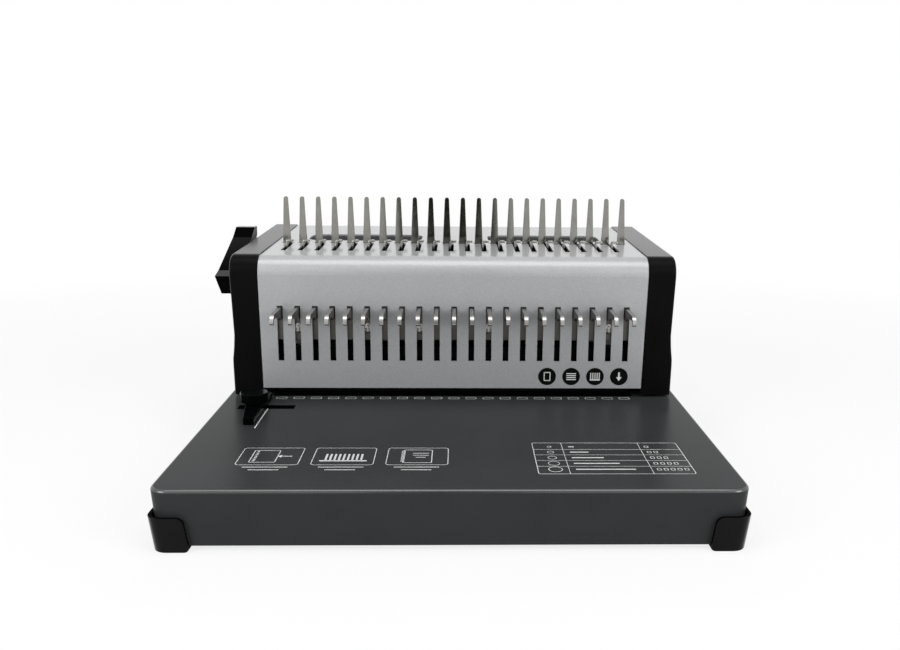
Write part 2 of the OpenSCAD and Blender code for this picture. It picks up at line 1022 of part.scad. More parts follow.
module clamp_knob() {
    stem = arm_t - 2 * over;
    color([0.05, 0.05, 0.05])
    seat()
    translate([guide_x, -guide_y, knob_z + slide_gap]) {
        difference() {
            cylinder(r = knob_r, h = knob_h);
            for (i = [0:rib_count - 1])
                rotate([0, 0, i * 360 / rib_count])
                translate([knob_r + rib_r / 2, 0, -1])
                cylinder(r = 2 * rib_r, h = knob_h + 2 * over, $fn = 16);
        }
        translate([0, 0, -stem - slide_gap])
        cylinder(r = shaft_r, h = stem + slide_gap + eps);
    }
}

module chip_drawer() {
    x = [half_w - drawer_l, half_w];
    y = [drawer_y, drawer_y + drawer_d];
    mid = drawer_y + drawer_d / 2;
    color([0.09, 0.09, 0.09])
    seat()
    difference() {
        block(x, y, [drawer_z, drawer_z + drawer_h]);
        block([x[0] + drawer_wall, x[1] - 2 * drawer_wall], [y[0] + drawer_wall, y[1] - drawer_wall],
            [drawer_z + drawer_wall, drawer_z + drawer_h + over]);
        block([x[1] - drawer_wall, x[1] + over], [mid - pull_w / 2, mid + pull_w / 2],
            [drawer_z + drawer_h - pull_h - pull_drop, drawer_z + drawer_h - pull_drop]);
    }
}

module punch_button() {
    root = cap_out - cap_wall - button_in;
    color([0.1, 0.45, 0.2])
    seat() {
        rod([root, cap_out + button_out], button_y, button_z, button_r);
        rod([root, root + button_lip], button_y, button_z, button_r + button_lip);
    }
}

module power_rocker() {
    axis_y = rear_y - rocker_in;
    x = [rocker_x - rocker_w / 2, rocker_x + rocker_w / 2];
    tall = rocker_h / 2 - over;
    color([0.5, 0.05, 0.05])
    seat()
    intersection() {
        block(x, [axis_y - rocker_r, rear_y + rear_t + rocker_out], [inlet_z - tall, inlet_z + tall]);
        union() {
            rod(x, axis_y, inlet_z, rocker_r);
            block(x, [axis_y, rear_y + rear_t + rocker_out], [inlet_z - tall, inlet_z + tall]);
        }
    }
}

module power_inlet() {
    half_x = inlet_w / 2;
    half_z = inlet_h / 2;
    wall = inlet_wall;
    color([0.06, 0.06, 0.06])
    seat()
    difference() {
        block([inlet_x - half_x + touch, inlet_x + half_x - touch],
            [rear_y - inlet_d, rear_y + rear_t + over],
            [inlet_z - half_z + touch, inlet_z + half_z - touch]);
        block([inlet_x - half_x + wall, inlet_x + half_x - wall], [2 * wall + rear_y - inlet_d, 2 * rear_y],
            [inlet_z - half_z + wall, inlet_z + half_z - wall]);
    }
}

module circuit_board() {
    color([0.05, 0.3, 0.14])
    seat()
    block([board_x0, board_x1], [board_y0, board_y1], [board_z, board_z + board_t]);
}

module board_posts() {
    color([0.6, 0.6, 0.62])
    seat()
    for (x = [board_x0 + board_edge, board_x1 - board_edge])
        for (y = [board_y0 + board_edge, board_y1 - board_edge])
            translate([x, y, tray_z + touch])
            cylinder(r = board_post_r, h = board_z - tray_z - 2 * touch);
}

module transformer() {
    color([0.25, 0.2, 0.15])
    seat()
    block([core_x0, core_x1], [core_y0, core_y1], [tray_z + touch, tray_z + core_h]);
}

base_tray();
bottom_plate();
guard_front_left();
guard_front_right();
guard_back_left();
guard_back_right();
front_cover();
left_end_cap();
right_end_cap();
rear_cover();
left_well();
right_well();
left_frame();
right_frame();
left_bush();
right_bush();
comb_uprights();
upright_rail();
lever_arm();
lever_shaft();
left_pinion();
right_pinion();
front_hooks();
front_hook_bar();
hook_bolts();
front_racks();
top_hooks();
top_hook_bar();
top_racks();
guide_block();
die_block();
back_gauge();
guide_posts();
punch_beam();
punch_pins();
crank_shaft();
crank_gear();
crank_bearings();
motor_pinion();
motor_body();
motor_plate();
edge_guide();
clamp_knob();
chip_drawer();
punch_button();
power_rocker();
power_inlet();
circuit_board();
board_posts();
transformer();
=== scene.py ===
import math

import bmesh
import bpy
from mathutils import Matrix, Vector


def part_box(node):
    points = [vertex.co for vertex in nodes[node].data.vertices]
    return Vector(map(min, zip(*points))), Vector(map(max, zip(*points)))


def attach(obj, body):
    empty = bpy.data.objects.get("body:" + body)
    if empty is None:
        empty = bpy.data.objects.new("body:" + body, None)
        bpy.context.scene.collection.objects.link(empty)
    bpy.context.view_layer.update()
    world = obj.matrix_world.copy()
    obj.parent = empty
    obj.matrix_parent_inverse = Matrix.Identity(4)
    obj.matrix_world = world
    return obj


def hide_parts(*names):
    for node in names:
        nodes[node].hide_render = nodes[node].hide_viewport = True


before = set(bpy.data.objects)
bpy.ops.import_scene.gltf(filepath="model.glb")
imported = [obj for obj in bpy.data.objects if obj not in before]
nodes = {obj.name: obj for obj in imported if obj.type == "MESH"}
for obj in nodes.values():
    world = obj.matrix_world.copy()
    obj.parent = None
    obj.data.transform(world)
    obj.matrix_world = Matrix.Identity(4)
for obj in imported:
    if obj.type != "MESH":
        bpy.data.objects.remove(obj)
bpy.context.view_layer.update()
mm = 0.001
seat = Vector((5, 4, 0)) * mm  # the machine's middle and front panel in the frame
pitch = 14.2875  # from ring to ring of a comb
print("frame loaded,", len(nodes), "nodes")


# shader sockets joined by Python operators
class Wire:
    def __init__(self, tree, socket=None):
        self.tree = tree
        self.socket = socket

    # adds any node: settings first, then values or links by socket name or number
    def add(self, kind, settings=None, values=None, out=0):
        node = self.tree.nodes.new("ShaderNode" + kind)
        for key, value in (settings or {}).items():
            setattr(node, key, value)
        for key, value in (values or {}).items():
            if isinstance(value, Wire):
                self.tree.links.new(value.socket, node.inputs[key])
            else:
                node.inputs[key].default_value = value
        return Wire(self.tree, node.outputs[out] if node.outputs else None)

    def math(self, operation, first, second):
        return self.add("Math", {"operation": operation}, {0: first, 1: second})

    def __add__(self, other):
        return self.math("ADD", self, other)

    __radd__ = __add__

    def __sub__(self, other):
        return self.math("SUBTRACT", self, other)

    def __rsub__(self, other):
        return self.math("SUBTRACT", other, self)

    def __mul__(self, other):
        return self.math("MULTIPLY", self, other)

    __rmul__ = __mul__

    # grain of a size in millimetres, stretched along each axis by a factor
    def noise(self, size, detail=3, stretch=(1, 1, 1)):
        place = self.add("TexCoord", out="Object")
        scale = [1 / (size * mm * factor) for factor in stretch]
        place = self.add("Mapping", {}, {"Vector": place, "Scale": scale})
        return self.add("TexNoise", {}, {"Vector": place, "Scale": 1, "Detail": detail})

    # an even value in each cell of a size in millimetres
    def cells(self, size):
        place = self.add("TexCoord", out="Object")
        colour = self.add("TexVoronoi", {}, {"Vector": place, "Scale": 1 / (size * mm)}, out="Color")
        return self.add("SeparateColor", {}, {0: colour})

    def blend(self, amount, low, high):
        return self.add("Mix", {"data_type": "RGBA"}, {0: amount, 6: (*low, 1), 7: (*high, 1)}, out=2)

    def ramp(self, low, high):
        return self.add("MapRange", {}, {0: self, 1: low, 2: high})


def newMaterial(name):
    made = bpy.data.materials.new(name)
    made.use_nodes = True
    made.node_tree.nodes.clear()
    return made, Wire(made.node_tree)


def closeMaterial(wire, values, height, depth):
    values["Normal"] = wire.add("Bump", {}, {"Height": height, "Distance": depth * mm, "Strength": 1})
    shader = wire.add("BsdfPrincipled", {}, values)
    wire.add("OutputMaterial", {}, {"Surface": shader})


# moulded plastic: fine grain, faint flow marks and an uneven gloss; polish is a gloss at grazing angles
moulded = dict(flow=45, flowShare=0.7, grainShare=0.3, contrast=(0.3, 0.7), lessRough=0.05, flowRough=0.06,
               grainRough=0.05, grazing=(0.52, 0.75), polishRough=0.18)


def plastic(name, dark, light, rough, specular=0.5, grain=0.35, depth=0.006, polish=0.0):
    made, wire = newMaterial(name)
    fine = wire.noise(grain)
    flow = wire.noise(moulded["flow"])
    mottle = flow * moulded["flowShare"] + fine * moulded["grainShare"]
    colour = wire.blend(mottle.ramp(*moulded["contrast"]), dark, light)
    gloss = rough - moulded["lessRough"] + flow * moulded["flowRough"] + fine * moulded["grainRough"]
    values = {"Base Color": colour, "Roughness": gloss, "Specular IOR Level": specular}
    if polish:
        values["Coat Weight"] = wire.add("LayerWeight", out="Facing").ramp(*moulded["grazing"]) * polish
        values["Coat Roughness"] = moulded["polishRough"]
    closeMaterial(wire, values, fine, depth)
    return made


# bare metal with brush marks along one axis
brushed = dict(cloud=9, lineShare=0.6, cloudShare=0.4, contrast=(0.3, 0.7), lessRough=0.06, lineRough=0.08,
               cloudRough=0.05)


def steel(name, dark, light, rough, stretch=(1, 1, 1), size=0.25, depth=0.002):
    made, wire = newMaterial(name)
    lines = wire.noise(size, stretch=stretch)
    cloud = wire.noise(brushed["cloud"])
    mottle = lines * brushed["lineShare"] + cloud * brushed["cloudShare"]
    colour = wire.blend(mottle.ramp(*brushed["contrast"]), dark, light)
    gloss = rough - brushed["lessRough"] + lines * brushed["lineRough"] + cloud * brushed["cloudRough"]
    closeMaterial(wire, {"Base Color": colour, "Roughness": gloss, "Metallic": 1}, lines, depth)
    return made


# sprayed metallic paint: flakes under a clear coat
sprayed = dict(flake=0.4, cloud=30, flakeShare=0.75, cloudShare=0.25, contrast=(0.1, 0.9), lessRough=0.04,
               flakeRough=0.08, ripple=1.2, rippleDetail=2, rippleShare=1.5, depth=0.0025,
               coat={"Metallic": 0.22, "Coat Weight": 0.75, "Coat Roughness": 0.11, "Coat IOR": 1.4,
                     "Specular IOR Level": 0.35})


def flakePaint(name, dark, light, rough):
    made, wire = newMaterial(name)
    flake = wire.cells(sprayed["flake"])
    cloud = wire.noise(sprayed["cloud"])
    mottle = flake * sprayed["flakeShare"] + cloud * sprayed["cloudShare"]
    colour = wire.blend(mottle.ramp(*sprayed["contrast"]), dark, light)
    gloss = rough - sprayed["lessRough"] + flake * sprayed["flakeRough"]
    values = {"Base Color": colour, "Roughness": gloss, **sprayed["coat"]}
    ripple = wire.noise(sprayed["ripple"], sprayed["rippleDetail"]) * sprayed["rippleShare"]
    closeMaterial(wire, values, flake + ripple, sprayed["depth"])
    return made


def grey(value):
    return (value, value, value)


# a dark and a light colour for each finish, then its roughness
baseGreys = (0.0295, 0.0308, 0.0315), (0.0362, 0.0378, 0.0387)
looks = {
    "base": plastic("baseGrey", *baseGreys, 0.30, 0.04),
    "edge": plastic("baseEdge", *baseGreys, 0.18, 0.75),
    "cap": plastic("capBlack", (0.0025, 0.0025, 0.0027), grey(0.004), 0.36, 0.03, polish=0.58),
    "guard": plastic("guardBlack", grey(0.004), grey(0.0065), 0.3, 0.08, polish=0.6),
    "lever": plastic("leverBlack", grey(0.001), grey(0.002), 0.2, 0.003, polish=0.95),
    "guide": plastic("guideBlack", (0.0008, 0.0014, 0.0014), (0.0016, 0.0026, 0.0026), 0.22, 0.012,
                     polish=0.2),
    "knob": plastic("knobBlack", (0.0010, 0.0018, 0.0017), (0.002, 0.0032, 0.003), 0.22, 0.02, polish=0.8),
    "rear": plastic("rearBlack", (0.014, 0.014, 0.0145), (0.022, 0.022, 0.0225), 0.48, 0.3, grain=0.6,
                    depth=0.02),
    "well": plastic("wellGrey", (0.06, 0.06, 0.062), (0.085, 0.085, 0.088), 0.45),
    "green": plastic("buttonGreen", (0.01, 0.16, 0.045), (0.014, 0.2, 0.06), 0.25),
    "red": plastic("rockerRed", (0.28, 0.012, 0.01), (0.34, 0.018, 0.014), 0.25),
    "board": plastic("boardGreen", (0.008, 0.07, 0.025), (0.014, 0.1, 0.04), 0.35),
    "post": plastic("postWhite", (0.55, 0.55, 0.53), (0.65, 0.65, 0.63), 0.45),
    "print": plastic("printWhite", (0.60, 0.61, 0.61), (0.74, 0.75, 0.75), 0.55, 0.2, grain=0.5, depth=0.001),
    "disc": plastic("discBlack", grey(0.003), grey(0.005), 0.4, 0.03),
    # near black: painted shade on the walls of holes, slots and hollows, on the guards' inner, top and end faces
    # and on the louvres' strips and hood undersides; also the black flag
    "dark": plastic("paintedShadeAndFlagBlack", grey(0.0008), grey(0.0016), 0.6, 0.01),
    "silver": flakePaint("silverPaint", (0.325, 0.331, 0.339), (0.41, 0.416, 0.424), 0.42),
    "black": steel("blackSheetAndPaintedShade", grey(0.006), grey(0.010), 0.5),
    "blade": steel("brushedBlade", (0.22, 0.218, 0.195), (0.32, 0.315, 0.288), 0.11, (1, 1, 14)),
    "chrome": steel("brightHook", (0.30, 0.297, 0.285), (0.44, 0.433, 0.415), 0.25, (1, 3, 3), 0.4),
    # a darker copy of the bright hook steel for the hooks' flat sides: painted shade
    "paintedFlankShade": steel("hookFlankPaintedShade", (0.13, 0.128, 0.12), (0.22, 0.215, 0.20), 0.34, (1, 3, 3), 0.4),
    "bar": steel("greyBar", (0.08, 0.077, 0.07), (0.13, 0.125, 0.115), 0.42, (12, 1, 1)),
    "gear": steel("gearSteel", grey(0.36), grey(0.50), 0.35),
    "bronze": steel("bushBronze", (0.45, 0.28, 0.12), (0.60, 0.40, 0.18), 0.35),
    "motor": steel("motorShell", (0.10, 0.10, 0.105), (0.16, 0.16, 0.165), 0.45),
}
print("materials made,", len(looks))

# the finish of each CAD node that no piece replaces
nodeLooks = {
    "silver": ["front_cover"],
    "cap": ["power_inlet", "chip_drawer"],
    "lever": ["lever_arm"],
    "guide": ["edge_guide"],
    "rear": ["rear_cover"],
    # near-black steel; on the parts seen through the gaps and slots, such as the die and guide blocks and the
    # punch beam, its darkness is painted shade
    "black": ["bottom_plate", "guide_block", "punch_beam", "left_frame", "right_frame", "motor_plate",
              "back_gauge", "die_block"],
    "well": ["left_well", "right_well"],
    "green": ["punch_button"],
    "red": ["power_rocker"],
    "board": ["circuit_board"],
    "post": ["board_posts"],
    "bar": ["front_hook_bar", "top_hook_bar", "upright_rail"],
    "gear": ["front_racks", "top_racks", "guide_posts", "punch_pins", "crank_shaft", "crank_gear",
             "crank_bearings", "lever_shaft", "left_pinion", "right_pinion"],
    "bronze": ["left_bush", "right_bush", "motor_pinion"],
    "motor": ["motor_body", "transformer"],
}
for look, names in nodeLooks.items():
    for name in names:
        nodes[name].data.materials.clear()
        nodes[name].data.materials.append(looks[look])

# edge radius in millimetres on CAD nodes that are seen closely
softEdges = {"lever_arm": 1.2, "edge_guide": 0.5, "chip_drawer": 0.8, "punch_button": 0.9, "power_rocker": 0.6,
             "power_inlet": 0.5, "left_well": 0.4, "right_well": 0.4, "rear_cover": 0.4, "front_hook_bar": 0.4,
             "guide_block": 0.3}
softening = dict(weld=0.002, flatAngle=1, sharpAngle=35, steps=3)
for name, radius in softEdges.items():
    stack = nodes[name].modifiers
    weld = stack.new("weld", "WELD")
    weld.merge_threshold = softening["weld"] * mm
    flat = stack.new("flat", "DECIMATE")
    flat.decimate_type = "DISSOLVE"
    flat.angle_limit = math.radians(softening["flatAngle"])
    soft = stack.new("soft", "BEVEL")
    soft.width = radius * mm
    soft.segments = softening["steps"]
    soft.limit_method = "ANGLE"
    soft.angle_limit = math.radians(softening["sharpAngle"])
    soft.harden_normals = True
print("CAD nodes dressed")

# tolerances in metres for doubles, equal places and level edges; shares of a direction for an axis and a face
double, same, flush = 1e-7, 1e-6, 1e-5
straight, facing = 0.999, 0.9
crease = 40  # degrees, from which an edge is shaded sharp
corner = 60  # degrees, from which an edge of a small piece is rounded


# a point in millimetres from the machine's middle
def point(x, y, z):
    return Vector((x, y, z)) * mm + seat


def addBox(bm, low, high):
    verts = bmesh.ops.create_cube(bm, size=1)["verts"]
    bmesh.ops.scale(bm, vec=high - low, verts=verts)
    bmesh.ops.translate(bm, vec=(low + high) / 2, verts=verts)
    return verts


def roundOff(bm, edges, radius, steps):
    bmesh.ops.bevel(bm, geom=list(edges), offset=radius * mm, offset_type="OFFSET", segments=steps,
                    profile=0.5, affect="EDGES", material=-1, clamp_overlap=True)


def along(edge, axis):
    run = (edge.verts[0].co - edge.verts[1].co).normalized()
    return abs(run[axis]) > straight


def level(edge, axis, place):
    return all(abs(vert.co[axis] - place) < flush for vert in edge.verts)


def sharpEdges(bm, degrees):
    return [edge for edge in bm.edges if edge.calc_face_angle(0) > math.radians(degrees)]


def vertsOf(geom):
    return [item for item in geom if isinstance(item, bmesh.types.BMVert)]


def facesOf(geom):
    return [item for item in geom if isinstance(item, bmesh.types.BMFace)]


def allOf(bm):
    return bm.verts[:] + bm.edges[:] + bm.faces[:]


def faceOut(bm):
    bmesh.ops.recalc_face_normals(bm, faces=bm.faces)


def extrudeFaces(bm, faces, shift):
    made = bmesh.ops.extrude_face_region(bm, geom=list(faces))["geom"]
    bmesh.ops.translate(bm, vec=shift, verts=vertsOf(made))
    return facesOf(made)


# a closed outline whose corners (across, up, radius) become arcs
def fillet(corners, steps):
    outline = []
    for i, (across, up, radius) in enumerate(corners):
        here = Vector((across, up))
        back = (Vector(corners[i - 1][:2]) - here).normalized()
        ahead = (Vector(corners[(i + 1) % len(corners)][:2]) - here).normalized()
        if radius == 0:
            outline.append(here)
            continue
        half = back.angle(ahead) / 2
        middle = here + (back + ahead).normalized() * radius / math.sin(half)
        start = here + back * radius / math.tan(half) - middle
        stop = here + ahead * radius / math.tan(half) - middle
        for step in range(steps + 1):
            outline.append(middle + start.lerp(stop, step / steps).normalized() * radius)
    return outline


def oblong(x, y, width, height, radius):
    sides = [(-1, -1), (1, -1), (1, 1), (-1, 1)]
    return [(x + i * width / 2, y + j * height / 2, radius) for i, j in sides]


def circle(x, y, radius, count):
    turns = [2 * math.pi * i / count for i in range(count)]
    return [(x + radius * math.cos(turn), y + radius * math.sin(turn)) for turn in turns]


# a prism on an outline, from low to high along an axis
def addPrism(bm, outline, axis, low, high):
    verts = []
    for pair in outline:
        spot = list(pair)
        spot.insert(axis, low)
        verts.append(bm.verts.new(point(*spot)))
    face = bm.faces.new(verts)
    shift = Vector((0, 0, 0))
    shift[axis] = (high - low) * mm
    top = extrudeFaces(bm, [face], shift)
    return verts + [vert for item in top for vert in item.verts]


def addCopy(bm, geom, shift):
    copy = bmesh.ops.duplicate(bm, geom=geom)["geom"]
    bmesh.ops.translate(bm, vec=shift, verts=vertsOf(copy))


# a row of copies at the comb's pitch
def repeat(bm, count):
    first = allOf(bm)
    for i in range(1, count):
        addCopy(bm, first, Vector((pitch, 0, 0)) * i * mm)


def meshObject(name, bm, used=()):
    mesh = bpy.data.meshes.new(name)
    bm.to_mesh(mesh)
    for look in used:
        mesh.materials.append(looks[look])
    obj = bpy.data.objects.new(name, mesh)
    bpy.context.scene.collection.objects.link(obj)
    return obj


# takes closed shapes out of a mesh; their walls get the mesh's second look
def carve(bm, cutter, insideLook):
    work = []
    for index, shape in enumerate((bm, cutter)):
        for face in shape.faces:
            face.material_index = index
        faceOut(shape)
        work.append(meshObject("work", shape, ("base", insideLook)))
    hole = work[0].modifiers.new("hole", "BOOLEAN")
    hole.object = work[1]
    hole.operation = "DIFFERENCE"
    hole.solver = "EXACT"
    bpy.context.view_layer.update()
    graph = bpy.context.evaluated_depsgraph_get()
    result = bpy.data.meshes.new_from_object(work[0].evaluated_get(graph))
    bm.clear()
    bm.from_mesh(result)
    cutter.free()
    bpy.data.meshes.remove(result)
    for obj in work:
        mesh = obj.data
        bpy.data.objects.remove(obj)
        bpy.data.meshes.remove(mesh)


def makePiece(name, bm, body, look, replaced=(), inside=()):
    bmesh.ops.remove_doubles(bm, verts=bm.verts, dist=double)
    faceOut(bm)
    for face in bm.faces:
        face.smooth = True
    for edge in sharpEdges(bm, crease):
        edge.smooth = False
    obj = meshObject(name, bm, (look, *inside))
    bm.free()
    normals = obj.modifiers.new("normals", "WEIGHTED_NORMAL")
    normals.keep_sharp = True
    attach(obj, body)
    if replaced:
        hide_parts(*replaced)


# base: a rounded tray with drawn-in walls, a guide slot, a die opening and the drawer's bay
base = dict(corner=12.0, top=2.6, foot=0.8, draft=2.3, wall=3.0, plate=2.1, gap=0.4, slotDepth=20.0,
            dieDepth=11.2, dieGap=0.06, over=1.0, flatDown=-0.99, plateArea=0.05, edgeUp=(0.2, 0.96))
guideSlot = dict(left=-172.6, right=-127.6, front=-35.6, back=-25.2)


def makeBase():
    low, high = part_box("base_tray")
    middle = (low + high) / 2
    bm = bmesh.new()
    addBox(bm, low, high)
    roundOff(bm, [edge for edge in bm.edges if along(edge, 2)], base["corner"], 10)
    roundOff(bm, [edge for edge in bm.edges if level(edge, 2, high.z)], base["top"], 6)
    roundOff(bm, [edge for edge in bm.edges if level(edge, 2, low.z)], base["foot"], 2)
    for vert in bm.verts:
        lean = base["draft"] * mm * (high.z - vert.co.z) / (high.z - low.z)
        for axis in (0, 1):
            vert.co[axis] -= math.copysign(lean, vert.co[axis] - middle[axis])
    underside = [face for face in bm.faces if face.normal.z < base["flatDown"]]
    bmesh.ops.inset_region(bm, faces=underside, thickness=base["wall"] * mm, use_even_offset=True)
    underside = [face for face in bm.faces
                 if face.normal.z < base["flatDown"] and face.calc_area() > base["plateArea"]]
    extrudeFaces(bm, underside, Vector((0, 0, base["plate"] * mm)))
    cutter = bmesh.new()
    top = high.z / mm
    over = base["over"] * mm
    slot = point(guideSlot["left"], guideSlot["front"], top - base["slotDepth"])
    addBox(cutter, slot, point(guideSlot["right"], guideSlot["back"], top + base["over"]))
    dieLow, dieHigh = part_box("die_block")
    rim = Vector((base["dieGap"], base["dieGap"], 0)) * mm
    dieLow.z, dieHigh.z = high.z - base["dieDepth"] * mm, high.z + over
    addBox(cutter, dieLow - rim, dieHigh + rim)
    bayLow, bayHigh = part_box("chip_drawer")
    gap = Vector((0, 1, 1)) * base["gap"] * mm
    addBox(cutter, bayLow - gap, bayHigh + gap + Vector((over, 0, 0)))
    # the walls of the guide slot, the die opening and the drawer's bay get the near-black look: painted shade
    carve(bm, cutter, "dark")
    edgeLow, edgeHigh = base["edgeUp"]
    for face in bm.faces:
        if edgeLow < face.normal.z < edgeHigh:
            face.material_index = 2  # the rounded upper edge
    makePiece("baseShell", bm, "chassis", "base", ["base_tray"], inside=["dark", "edge"])


# corner guards: a bent strip whose inner, top and end faces are painted near black as shade, leaning in towards
# its foot
guard = dict(wall=2.6, longer=0.1, taller=1.8, corner=9.5, inset=2.0, lean=2.4, topBack=0.6, topRadius=4.5,
             footRadius=3.2, edge=0.35, edgeAngle=50, endShare=0.9, shortEdge=1.2, outward=-0.3, soleIn=0.1,
             soleLow=0.2, soleHigh=3.1, soleShort=1.5)
guardSides = {"front_left": (1, 1), "front_right": (-1, 1), "back_left": (1, -1), "back_right": (-1, -1)}


def makeGuard(place):
    sideX, sideY = guardSides[place]
    nodeName = "guard_" + place
    low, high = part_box(nodeName)
    size = high - low + Vector((guard["longer"], guard["longer"], guard["taller"])) * mm
    bm = bmesh.new()
    outer = guard["corner"] * mm
    wall = guard["wall"] * mm
    ends = [Vector((size.x, y, z)) for y, z in ((0, 0), (wall, 0), (wall, size.z), (0, size.z))]
    face = bm.faces.new([bm.verts.new(end) for end in ends])
    faces = extrudeFaces(bm, [face], Vector((outer - size.x, 0, 0)))
    turned = bmesh.ops.spin(bm, geom=faces, cent=(outer, outer, 0), axis=(0, 0, 1), angle=-math.pi / 2,
                            steps=10, use_merge=False)["geom_last"]
    extrudeFaces(bm, facesOf(turned), Vector((0, size.y - outer, 0)))
    bmesh.ops.remove_doubles(bm, verts=bm.verts, dist=double)
    for vert in bm.verts:
        for axis in (0, 1):
            if abs(vert.co[axis] - size[axis]) < same and vert.co.z > size.z / 2:
                vert.co[axis] -= guard["topBack"] * mm
    faceOut(bm)

    # the short edges across the strip's ends, at its top or at its foot
    def endEdges(top):
        found = []
        for edge in bm.edges:
            middle = (edge.verts[0].co + edge.verts[1].co) / 2
            atEnd = max(middle.x / size.x, middle.y / size.y) > guard["endShare"]
            across = along(edge, 0) or along(edge, 1)
            if atEnd and across and edge.calc_length() < guard["shortEdge"] * wall:
                if (middle.z > size.z / 2) == top:
                    found.append(edge)
        return found

    roundOff(bm, endEdges(True), guard["topRadius"], 7)
    roundOff(bm, endEdges(False), guard["footRadius"], 3)
    roundOff(bm, sharpEdges(bm, guard["edgeAngle"]), guard["edge"], 2)
    inner, short = wall - guard["soleIn"] * mm, guard["soleShort"] * mm
    soleLow = Vector((inner, inner, guard["soleLow"] * mm))
    sole = addBox(bm, soleLow, Vector((size.x - short, size.y - short, guard["soleHigh"] * mm)))
    heel = [edge for vert in sole for edge in vert.link_edges
            if along(edge, 2) and (edge.verts[0].co.xy - soleLow.xy).length < flush]
    roundOff(bm, set(heel), guard["corner"] - guard["wall"], 8)
    # faces that don't face outward get the near-black look: painted shade
    for face in bm.faces:
        face.normal_update()
        face.material_index = int(min(face.normal.x, face.normal.y) > guard["outward"])
    for vert in bm.verts:
        lean = guard["lean"] * mm * (1 - vert.co.z / size.z)
        vert.co.x += lean + guard["inset"] * mm
        vert.co.y += lean
    bmesh.ops.transform(bm, matrix=Matrix.Diagonal((sideX, sideY, 1, 1)), verts=bm.verts)
    outside = Vector((low.x if sideX > 0 else high.x, low.y if sideY > 0 else high.y, 0))
    bmesh.ops.translate(bm, vec=outside, verts=bm.verts)
    makePiece("guard." + place, bm, "chassis", "guard", [nodeName], inside=["dark"])


# end caps: hollow, waisted at mid height, with a soft outer rim and a round hole
cap = dict(foot=1.8, bend=14.0, rim=2.6, rimReach=2.1, inner=0.5, wall=3.0, over=1, drill=30,
           slope=math.tan(math.radians(1.94)))
# heights, and how far the outer side is drawn in at each
capDrawnIn = [(40, 0.5), (68, 0.0), (73.5, 0.1), (79, 0.8), (84, 1.3), (93, 1.85), (104, 1.45), (124, 0.7),
              (142, 0.0)]
leverHole = dict(y=34, z=127, r=6.0)
buttonHole = dict(y=60, z=118, r=9.4)


def drawnIn(height):
    for (lower, start), (upper, stop) in zip(capDrawnIn, capDrawnIn[1:]):
        if height <= upper:
            return start + (stop - start) * (height - lower) / (upper - lower)
    return 0.0


# wider is what the front gains at its foot, on the inner side
def makeCap(nodeName, side, name, wider, hole):
    low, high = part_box(nodeName)
    low.z += cap["foot"] * mm
    frontTop = high.z - cap["slope"] * (high.y - low.y)
    outerX, innerX = (high.x, low.x) if side > 0 else (low.x, high.x)
    bm = bmesh.new()
    addBox(bm, low, Vector((high.x, high.y, frontTop)))
    for vert in bm.verts:
        if vert.co.y > low.y + same and vert.co.z > low.z + same:
            vert.co.z = high.z
    lip = [edge for edge in bm.edges
           if along(edge, 0) and level(edge, 1, low.y) and level(edge, 2, frontTop)]
    roundOff(bm, lip, cap["bend"], 14)
    for height, _ in capDrawnIn[1:]:
        bmesh.ops.bisect_plane(bm, geom=allOf(bm), plane_co=(0, 0, height * mm), plane_no=(0, 0, 1), dist=double)
    for vert in bm.verts:
        if abs(vert.co.x - outerX) < same:
            vert.co.x -= side * drawnIn(vert.co.z / mm) * mm
        elif vert.co.y < low.y + mm:
            vert.co.x -= side * wider * mm * (1 - (vert.co.z - low.z) / (frontTop - low.z))
    faceOut(bm)
    rim = []
    for edge in sharpEdges(bm, crease):
        outside = all(abs(vert.co.x - outerX) < cap["rimReach"] * mm for vert in edge.verts)
        if outside and not level(edge, 2, low.z):
            rim.append(edge)
    roundOff(bm, rim, cap["rim"], 6)
    roundOff(bm, [edge for edge in sharpEdges(bm, crease) if level(edge, 0, innerX)], cap["inner"], 2)
    cutter = bmesh.new()
    wall, under = cap["wall"], low.z / mm - cap["over"]
    front, back = (low.y - seat.y) / mm + wall, (high.y - seat.y) / mm - wall
    ends = sorted(((innerX - seat.x) / mm - side * cap["over"], (outerX - seat.x) / mm - side * 2 * wall))
    hollow = [(front, under, 0), (front, frontTop / mm - wall, cap["bend"]), (back, high.z / mm - wall, 0),
              (back, under, 0)]
    addPrism(cutter, fillet(hollow, 10), 0, *ends)
    radius = hole["r"] * mm
    tube = bmesh.ops.create_cone(cutter, cap_ends=True, segments=40, radius1=radius, radius2=radius,
                                 depth=cap["drill"] * mm)["verts"]
    bmesh.ops.rotate(cutter, cent=(0, 0, 0), matrix=Matrix.Rotation(math.pi / 2, 3, "Y"), verts=tube)
    bmesh.ops.translate(cutter, vec=(outerX, seat.y + hole["y"] * mm, hole["z"] * mm), verts=tube)
    # the walls of the hollow and of the round hole get the near-black look: painted shade
    carve(bm, cutter, "dark")
    makePiece(name, bm, "chassis", "cap", [nodeName], inside=["dark"])


# uprights: tapered blades with round tips
blade = dict(base=7.2, tip=3.8, shoulder=161.0, tipRadius=1.75, edge=0.25, count=22)


def makeUprights():
    low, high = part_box("comb_uprights")
    bm = bmesh.new()
    half, tip = blade["base"] / 2, blade["tip"] / 2
    first = (low.x - seat.x) / mm + half
    bottom, top = low.z / mm, high.z / mm
    corners = [(first - half, bottom, 0), (first + half, bottom, 0), (first + half, blade["shoulder"], 0),
               (first + tip, top, blade["tipRadius"]), (first - tip, top, blade["tipRadius"]),
               (first - half, blade["shoulder"], 0)]
    addPrism(bm, fillet(corners, 6), 1, (low.y - seat.y) / mm, (high.y - seat.y) / mm)
    faceOut(bm)
    roundOff(bm, sharpEdges(bm, corner), blade["edge"], 2)
    repeat(bm, blade["count"])
    makePiece("combUprights", bm, "chassis", "blade", ["comb_uprights"])


